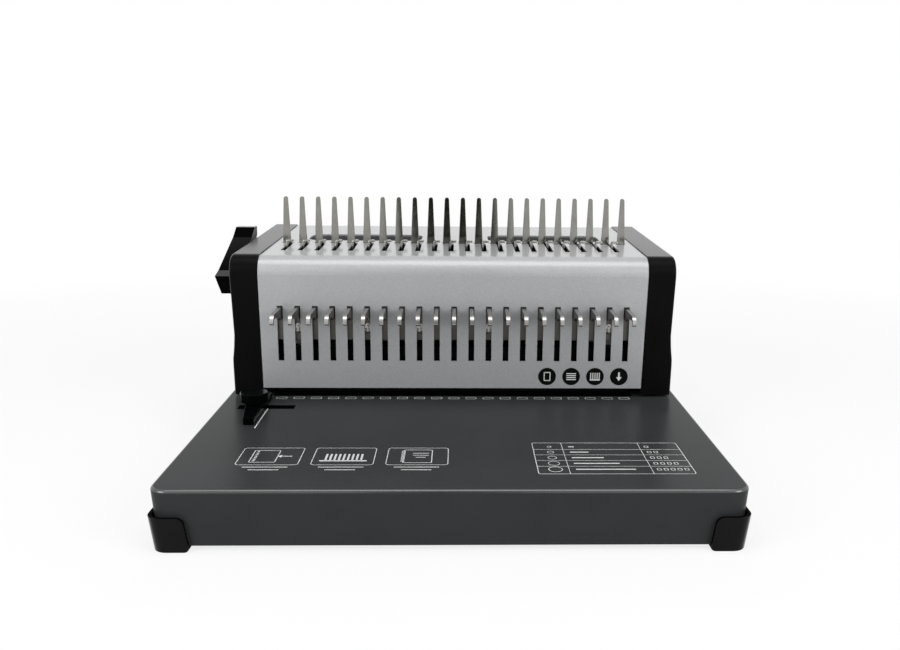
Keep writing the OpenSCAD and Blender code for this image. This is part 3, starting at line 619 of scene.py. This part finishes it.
# front hooks: plates with a level arm, a turned-down nose and a deep root
hook = dict(first=-10 * pitch, half=1.5, edge=0.45, count=21)
hookSide = [(2.9, 107.0, 0), (2.9, 117.0, 0), (-4.0, 117.0, 4.0), (-35.8, 116.6, 6.2), (-35.8, 109.0, 1.1),
            (-33.2, 109.0, 1.1), (-33.2, 113.6, 3.3), (-12.0, 110.8, 5.0), (-4.0, 107.0, 3.0)]


def makeFrontHooks():
    bm = bmesh.new()
    addPrism(bm, fillet(hookSide, 7), 0, hook["first"] - hook["half"], hook["first"] + hook["half"])
    faceOut(bm)
    # the flat sides get the darker steel, the edges and nose the bright one: painted shade on the flanks
    for face in bm.faces:
        face.material_index = int(abs(face.normal.x) > facing)
    roundOff(bm, sharpEdges(bm, corner), hook["edge"], 3)
    repeat(bm, hook["count"])
    makePiece("frontHooks", bm, "front_carriage", "chrome", ["front_hooks"], inside=["paintedFlankShade"])


# top hooks: bent strips that reach sideways above the cover
topHook = dict(first=-10.5 * pitch + 4.1, front=62.0, back=67.0, strip=1.5, tip=1.9, reach=4.5,
               radii=(0.8, 0.7, 1.0, 2.4), edge=0.4)


def makeTopHooks():
    low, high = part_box("top_hooks")
    bottom, top = low.z / mm, high.z / mm
    right = topHook["first"]
    left, end, under = right - topHook["strip"], right + topHook["reach"], top - topHook["tip"]
    inner, lower, upper, outer = topHook["radii"]
    corners = [(left, bottom, 0), (right, bottom, 0), (right, under, inner), (end, under, lower),
               (end, top, upper), (left, top, outer)]
    bm = bmesh.new()
    addPrism(bm, fillet(corners, 5), 1, topHook["front"], topHook["back"])
    faceOut(bm)
    roundOff(bm, sharpEdges(bm, corner), topHook["edge"], 2)
    repeat(bm, hook["count"])
    makePiece("topHooks", bm, "top_carriage", "chrome", ["top_hooks"])


# screw heads: a low dome with a cross recess, made facing up and then turned; shares of height and radius
screw = dict(wall=0.4, dome=((0.3, 0.90), (0.2, 0.80), (0.1, 0.72)), cross=((0.16, 0.55), (0.55, 0.16)),
             crossFloor=0.25, crossTop=2)
hookBolt = dict(hooks=(1, 5, 8, 12, 19), y=2.98, z=99, radius=4.4, height=1.1)
rearScrew = dict(margin=9, sunk=0.1, radius=3.4, height=1.5)


def addScrew(bm, radius, height):
    disc = bmesh.ops.create_circle(bm, cap_ends=True, segments=32, radius=radius * mm)["verts"]
    face = disc[0].link_faces[0]
    face = extrudeFaces(bm, [face], Vector((0, 0, height * screw["wall"] * mm)))[0]
    for share, shrink in screw["dome"]:
        face = extrudeFaces(bm, [face], Vector((0, 0, height * share * mm)))[0]
        bmesh.ops.scale(bm, vec=(shrink, shrink, 1), verts=face.verts[:])
    cutter = bmesh.new()
    floor = Vector((0, 0, height * screw["crossFloor"] * mm))
    top = Vector((0, 0, screw["crossTop"] * height * mm))
    for wide, long in screw["cross"]:
        reach = Vector((wide * radius, long * radius, 0)) * mm
        addBox(cutter, -reach + floor, reach + top)
    carve(bm, cutter, "chrome")


def makeScrews(name, places, size, body, turn, replaced=()):
    bm = bmesh.new()
    addScrew(bm, size["radius"], size["height"])
    bmesh.ops.transform(bm, matrix=turn, verts=bm.verts)
    first = allOf(bm)
    for place in places[1:]:
        addCopy(bm, first, point(*place))
    bmesh.ops.translate(bm, vec=point(*places[0]), verts=vertsOf(first))
    makePiece(name, bm, body, "chrome", replaced, inside=["chrome"])


# clamp knob: knurled side, smooth top rim
knob = dict(x=-159.4, y=-32.0, low=46.8, high=54.1, radius=11.0, knurl=0.4, ribs=54, rim=0.9, rimIn=0.15,
            rimRadius=0.6, stem=4.0, stemLow=42.0)


def makeKnob():
    bm = bmesh.new()
    x, y, brim = knob["x"], knob["y"], knob["high"] - knob["rim"]
    outline = []
    for i in range(4 * knob["ribs"]):
        angle = 2 * math.pi * i / (4 * knob["ribs"])
        reach = knob["radius"] - (knob["knurl"] if i % 4 < 2 else 0)
        outline.append((x + reach * math.cos(angle), y + reach * math.sin(angle)))
    addPrism(bm, outline, 2, knob["low"], brim)
    addPrism(bm, circle(x, y, knob["radius"] - knob["rimIn"], 64), 2, brim, knob["high"])
    addPrism(bm, circle(x, y, knob["stem"], 64), 2, knob["stemLow"], knob["low"])
    faceOut(bm)
    rim = [edge for edge in sharpEdges(bm, corner) if level(edge, 2, knob["high"] * mm)]
    roundOff(bm, rim, knob["rimRadius"], 3)
    makePiece("clampKnob", bm, "knob", "knob", ["clamp_knob"])


# rear louvres: two columns of hoods, each over a thin near-black strip laid on the cover as painted shade for the
# slit; the hoods' undersides are painted shade too
rear = dict(columns=((36, 82), (92, 138)), rows=(74, 84, 94, 104, 114, 124), rise=2.4, tall=5.5, lip=0.6,
            root=0.2, shadeSlit=1.7, shadeSlitIn=1, proud=0.05)


def makeLouvres():
    back = (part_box("rear_cover")[1].y - seat.y) / mm
    bm = bmesh.new()
    shadeSlits = set()
    inner, skin, outer = back - rear["root"], back + rear["proud"], back + rear["rise"]
    for left, right in rear["columns"]:
        for z in rear["rows"]:
            hood = [(inner, z), (outer, z), (outer, z + rear["lip"]), (inner, z + rear["tall"])]
            addPrism(bm, hood, 0, left, right)
            low = z - rear["shadeSlit"]
            shadeSlit = [(inner, low), (skin, low), (skin, z), (inner, z)]
            shadeSlits.update(addPrism(bm, shadeSlit, 0, left + rear["shadeSlitIn"], right - rear["shadeSlitIn"]))
    faceOut(bm)
    # hood undersides and the strips get the near-black look: painted shade
    for face in bm.faces:
        face.material_index = int(face.normal.z < -facing or face.verts[0] in shadeSlits)
    makePiece("rearLouvres", bm, "chassis", "rear", inside=["dark"])


# pins of the mains inlet
pins = dict(places=((-7, -1.6), (0, 2.4), (7, -1.6)), half=(1.0, 2.0), root=3.9, back=8.0, edge=0.3)


def makePins():
    low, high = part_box("power_inlet")
    middle = (low + high) / 2
    halfX, halfZ = pins["half"]
    front, back = low.y + pins["root"] * mm, high.y - pins["back"] * mm
    bm = bmesh.new()
    for x, z in pins["places"]:
        near = Vector((middle.x + (x - halfX) * mm, front, middle.z + (z - halfZ) * mm))
        far = Vector((middle.x + (x + halfX) * mm, back, middle.z + (z + halfZ) * mm))
        addBox(bm, near, far)
    roundOff(bm, sharpEdges(bm, corner), pins["edge"], 2)
    makePiece("inletPins", bm, "chassis", "chrome")


# printed marks: thin films drawn flat, then laid on a face
ink = dict(thick=0.04)


def addPatch(bm, outline, line=0.0):
    face = bm.faces.new([bm.verts.new(Vector((*pair, 0)) * mm) for pair in outline])
    if line:
        face.normal_update()
        bmesh.ops.inset_region(bm, faces=[face], thickness=line * mm, use_even_offset=True,
                               use_boundary=True)
        bm.faces.remove(face)


def addOblong(bm, x, y, width, height, radius, steps, line=0.0):
    addPatch(bm, fillet(oblong(x, y, width, height, radius), steps), line)


def addBar(bm, x, y, width, height):
    addPatch(bm, [pair[:2] for pair in oblong(x, y, width, height, 0)])


def addRing(bm, x, y, radius, line=0.0):
    addPatch(bm, circle(x, y, radius, 36), line)


def makePrint(name, bm, turn, place, look):
    extrudeFaces(bm, bm.faces[:], Vector((0, 0, ink["thick"] * mm)))
    bmesh.ops.transform(bm, matrix=turn, verts=bm.verts)
    bmesh.ops.translate(bm, vec=point(*place), verts=bm.verts)
    makePiece(name, bm, "chassis", look)


# a raised ring around the push button
bezel = dict(y=60.0, z=118.0, radius=11.4, line=1.9, root=2.3, high=2.9, edge=0.6)


def makeBezel():
    bm = bmesh.new()
    addRing(bm, 0, 0, bezel["radius"], bezel["line"])
    extrudeFaces(bm, bm.faces[:], Vector((0, 0, bezel["high"] * mm)))
    faceOut(bm)
    rim = [edge for edge in sharpEdges(bm, corner) if level(edge, 2, bezel["high"] * mm)]
    roundOff(bm, rim, bezel["edge"], 3)
    bmesh.ops.rotate(bm, cent=(0, 0, 0), matrix=Matrix.Rotation(math.pi / 2, 3, "Y"), verts=bm.verts)
    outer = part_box("right_end_cap")[1].x - bezel["root"] * mm
    bmesh.ops.translate(bm, vec=(outer, seat.y + bezel["y"] * mm, bezel["z"] * mm), verts=bm.verts)
    makePiece("buttonBezel", bm, "chassis", "lever")


# marks at the hole places, and the guide's line
tray = dict(top=41.0, marks=21, markY=-4.0, mark=(8.8, 5.4, 0.8), markLine=0.45, guideLine=(-148.2, -60, 0.9, 49))
# three framed steps: a holed sheet, a comb, a bound booklet
steps = dict(middles=(-124, -74, -24), y=-146, frame=(42, 34, 2.5), frameLine=0.5, thick=1.0,
             captions=((-21, 30), (-26, 20)), page=(18, 24, 1.0), pageLine=0.6, holes=7, hole=(1.8, 1.4, 0.3),
             teeth=9, tooth=(1.4, 12, 0.6), spine=(32, 2.0), booklet=(20, 26, 1.0), rings=9, ring=(1.3, 0.4),
             lines=((6, 11), (2, 11), (-2, 7)), lineThick=0.8)
# a chart of growing rings and bars, with more boxes in each row
chart = dict(x=108, y=-149, frame=(104, 62, 2.0), line=0.5, rows=5, firstRow=-126.5, rowStep=11.2, ringX=68,
             barX=83.5, barThick=1.6, columns=(77, 132), rule=0.4, across=103, down=61, boxX=137, boxStep=4.6,
             box=(3.0, 4.0, 0.5))


def addSteps(bm):
    y, thick = steps["y"], steps["thick"]
    sheet, comb, booklet = steps["middles"]
    for x in steps["middles"]:
        addOblong(bm, x, y, *steps["frame"], 4, steps["frameLine"])
        for below, width in steps["captions"]:
            addBar(bm, x, y + below, width, thick)
    addOblong(bm, sheet - 4, y, *steps["page"], 3, steps["pageLine"])
    for i in range(steps["holes"]):
        addOblong(bm, sheet - 10, y - 9 + 3 * i, *steps["hole"], 2)
    addBar(bm, sheet + 11, y, 7, thick)  # an arrow
    addPatch(bm, [(sheet + 7.5, y - 2.5), (sheet + 7.5, y + 2.5), (sheet + 4.5, y)])
    addBar(bm, comb, y - 9, *steps["spine"])
    for i in range(steps["teeth"]):
        addOblong(bm, comb - 12 + 3 * i, y - 1.5, *steps["tooth"], 3)
    addOblong(bm, booklet, y, *steps["booklet"], 3, steps["pageLine"])
    for i in range(steps["rings"]):
        addRing(bm, booklet - 10, y - 10 + 2.5 * i, *steps["ring"])
    for above, width in steps["lines"]:
        addBar(bm, booklet + 2, y + above, width, steps["lineThick"])


def addChart(bm):
    x, y, line = chart["x"], chart["y"], chart["line"]
    rows = [chart["firstRow"] - chart["rowStep"] * i for i in range(chart["rows"])]
    addOblong(bm, x, y, *chart["frame"], 4, line)
    for i, row in enumerate(rows):
        addRing(bm, chart["ringX"], row, 1.6 + 0.8 * i, line)
        addBar(bm, chart["barX"] + 4.5 * i, row, 4 + 9.0 * i, chart["barThick"])
        if i:
            addBar(bm, x, row + chart["rowStep"] / 2, chart["across"], chart["rule"])
    for column in chart["columns"]:
        addBar(bm, column, y, chart["rule"], chart["down"])
    for i, row in enumerate(rows):
        for j in range(i + 1):
            addOblong(bm, chart["boxX"] + chart["boxStep"] * j, row, *chart["box"], 2, line)


def makeTrayPrint():
    bm = bmesh.new()
    for i in range(tray["marks"]):
        addOblong(bm, (i - 10) * pitch, tray["markY"], *tray["mark"], 3, tray["markLine"])
    addBar(bm, *tray["guideLine"])
    addSteps(bm)
    addChart(bm)
    makePrint("trayPrint", bm, Matrix.Identity(4), (0, 0, tray["top"]), "print")


# dark discs on the front panel, with a sheet, a stack, a comb and an arrow
discs = dict(places=(78.0, 98.2, 118.3, 138.5), z=58.8, radius=7.5, sheet=(5.6, 7.6, 0.6), sheetLine=0.7,
             layers=4, layer=(8.0, 0.8), spine=(8.4, 1.2), teeth=5, tooth=(0.8, 5.4), shaft=(1.3, 4.4))


def makePanelPrint():
    upright = Matrix.Rotation(math.pi / 2, 4, "X")
    z = discs["z"]
    bm = bmesh.new()
    for x in discs["places"]:
        addRing(bm, x, z, discs["radius"])
    makePrint("panelDiscs", bm, upright, (0, 0, 0), "disc")
    sheet, stack, comb, press = discs["places"]
    bm = bmesh.new()
    addOblong(bm, sheet, z, *discs["sheet"], 3, discs["sheetLine"])
    for i in range(discs["layers"]):
        addBar(bm, stack, z - 2.6 + 1.7 * i, *discs["layer"])
    addBar(bm, comb, z - 2.8, *discs["spine"])
    for i in range(discs["teeth"]):
        addBar(bm, comb - 3.6 + 1.8 * i, z + 0.6, *discs["tooth"])
    addBar(bm, press, z + 1.6, *discs["shaft"])
    addPatch(bm, [(press - 2.4, z - 0.4), (press, z - 3.8), (press + 2.4, z - 0.4)])
    makePrint("panelIcons", bm, upright, (0, -ink["thick"], 0), "print")


makeBase()
for place in guardSides:
    makeGuard(place)
makeCap("left_end_cap", -1, "leftEndCap", 1.8, leverHole)
makeCap("right_end_cap", 1, "rightEndCap", 3.0, buttonHole)
print("shells made")
makeUprights()
makeFrontHooks()
makeTopHooks()
makeKnob()
forward = Matrix.Rotation(math.pi / 2, 4, "X")
backward = Matrix.Rotation(-math.pi / 2, 4, "X")
boltPlaces = [((i - 10) * pitch, hookBolt["y"], hookBolt["z"]) for i in hookBolt["hooks"]]
makeScrews("hookBolts", boltPlaces, hookBolt, "front_carriage", forward, ["hook_bolts"])
rearLow, rearHigh = [(end - seat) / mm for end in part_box("rear_cover")]
margin = rearScrew["margin"]
screwPlaces = [(x, rearHigh.y - rearScrew["sunk"], z)
               for x in (rearLow.x + margin, 0, rearHigh.x - margin)
               for z in (rearLow.z + margin, rearHigh.z - margin)]
makeScrews("rearScrews", screwPlaces, rearScrew, "chassis", backward)
makeLouvres()
makePins()
makeBezel()
print("hooks, knob and rear details made")
makeTrayPrint()
makePanelPrint()
print("prints made")

# floor and light
studio = dict(floorSize=30.0, nearRadius=0.45, farRadius=1.1, shadowShare=0.2, floorWhite=0.85, skyLight=0.2)
white = (1, 1, 1, 1)


# 1 for rays from the camera, a mirror or glass
def seenDirectly(wire):
    path = wire.add("LightPath")
    seen = path
    for ray in ("Is Glossy Ray", "Is Transmission Ray"):
        seen = wire.math("MAXIMUM", seen, Wire(wire.tree, path.socket.node.outputs[ray]))
    return seen


# white to the eye, with a share of the object's shadow near the middle
def makeFloor():
    bm = bmesh.new()
    bmesh.ops.create_grid(bm, x_segments=1, y_segments=1, size=studio["floorSize"])
    floor = meshObject("floor", bm)
    bm.free()
    made, wire = newMaterial("floorWhite")
    place = wire.add("TexCoord", out="Object")
    away = wire.add("VectorMath", {"operation": "LENGTH"}, {0: place}, out="Value")
    near = 1 - away.ramp(studio["nearRadius"], studio["farRadius"])
    diffuse = wire.add("BsdfDiffuse", {}, {"Color": (*grey(studio["floorWhite"]), 1)})
    glow = wire.add("Emission", {}, {"Color": white, "Strength": 1.0})
    share = seenDirectly(wire) * (1 - near * studio["shadowShare"])
    shader = wire.add("MixShader", {}, {0: share, 1: diffuse, 2: glow})
    wire.add("OutputMaterial", {}, {"Surface": shader})
    floor.data.materials.append(made)


# a black board behind the camera, for the blades to mirror
flag = dict(low=(-0.125, -1.1, 0.0), high=(0.1, -1.09, 1.2))


def makeFlag():
    bm = bmesh.new()
    addBox(bm, Vector(flag["low"]), Vector(flag["high"]))
    board = meshObject("flag", bm, ["dark"])
    bm.free()
    board.visible_camera = False
    board.visible_shadow = False


def makeWorld():
    world = bpy.data.worlds.new("studio")
    bpy.context.scene.world = world
    world.use_nodes = True
    world.node_tree.nodes.clear()
    wire = Wire(world.node_tree)
    strength = studio["skyLight"] + seenDirectly(wire) * (1 - studio["skyLight"])
    sky = wire.add("Background", {}, {"Color": white, "Strength": strength})
    wire.add("OutputWorld", {}, {"Surface": sky})


def makeLamp(name, place, aim, size, power):
    lamp = bpy.data.lights.new(name, "AREA")
    lamp.shape = "RECTANGLE"
    lamp.size, lamp.size_y = size
    lamp.energy = power
    obj = bpy.data.objects.new(name, lamp)
    obj.location = place
    obj.rotation_euler = (Vector(aim) - Vector(place)).to_track_quat("-Z", "Y").to_euler()
    bpy.context.scene.collection.objects.link(obj)
    return obj


view = dict(place=(3.0, -749.0, 258.0), pitch=78.29, turn=-1.71, roll=0.58, lens=37.0, sensor=36, shift=-0.0387,
            nearest=0.01)


def makeCamera():
    camera = bpy.data.cameras.new("photo")
    camera.lens = view["lens"]
    camera.sensor_width = view["sensor"]
    camera.shift_x = view["shift"]
    camera.clip_start = view["nearest"]
    obj = bpy.data.objects.new("photo", camera)
    spin = Matrix.Rotation(math.radians(view["turn"]), 4, "Z")
    tilt = Matrix.Rotation(math.radians(view["pitch"]), 4, "X")
    roll = Matrix.Rotation(math.radians(view["roll"]), 4, "Z")
    obj.matrix_world = Matrix.Translation(point(*view["place"])) @ spin @ tilt @ roll
    bpy.context.scene.collection.objects.link(obj)
    bpy.context.scene.camera = obj


makeFloor()
makeFlag()
makeWorld()
makeLamp("softTop", (0.0, -0.25, 1.5), (0, 0, 0.1), (1.4, 0.75), 11)
makeLamp("softLeft", (-0.85, -0.8, 0.6), (0, 0, 0.1), (0.65, 0.65), 7.4)
makeLamp("softRight", (0.85, -0.8, 0.6), (0, 0, 0.1), (0.65, 0.65), 7.4)
fill = makeLamp("softBack", (0.0, 1.4, 0.9), (0, 0.1, 0.1), (1.2, 0.5), 7)
fill.visible_glossy = False  # lights the rear without a shine on the tops
makeCamera()
bpy.context.scene.view_settings.view_transform = "Standard"
print("studio made")
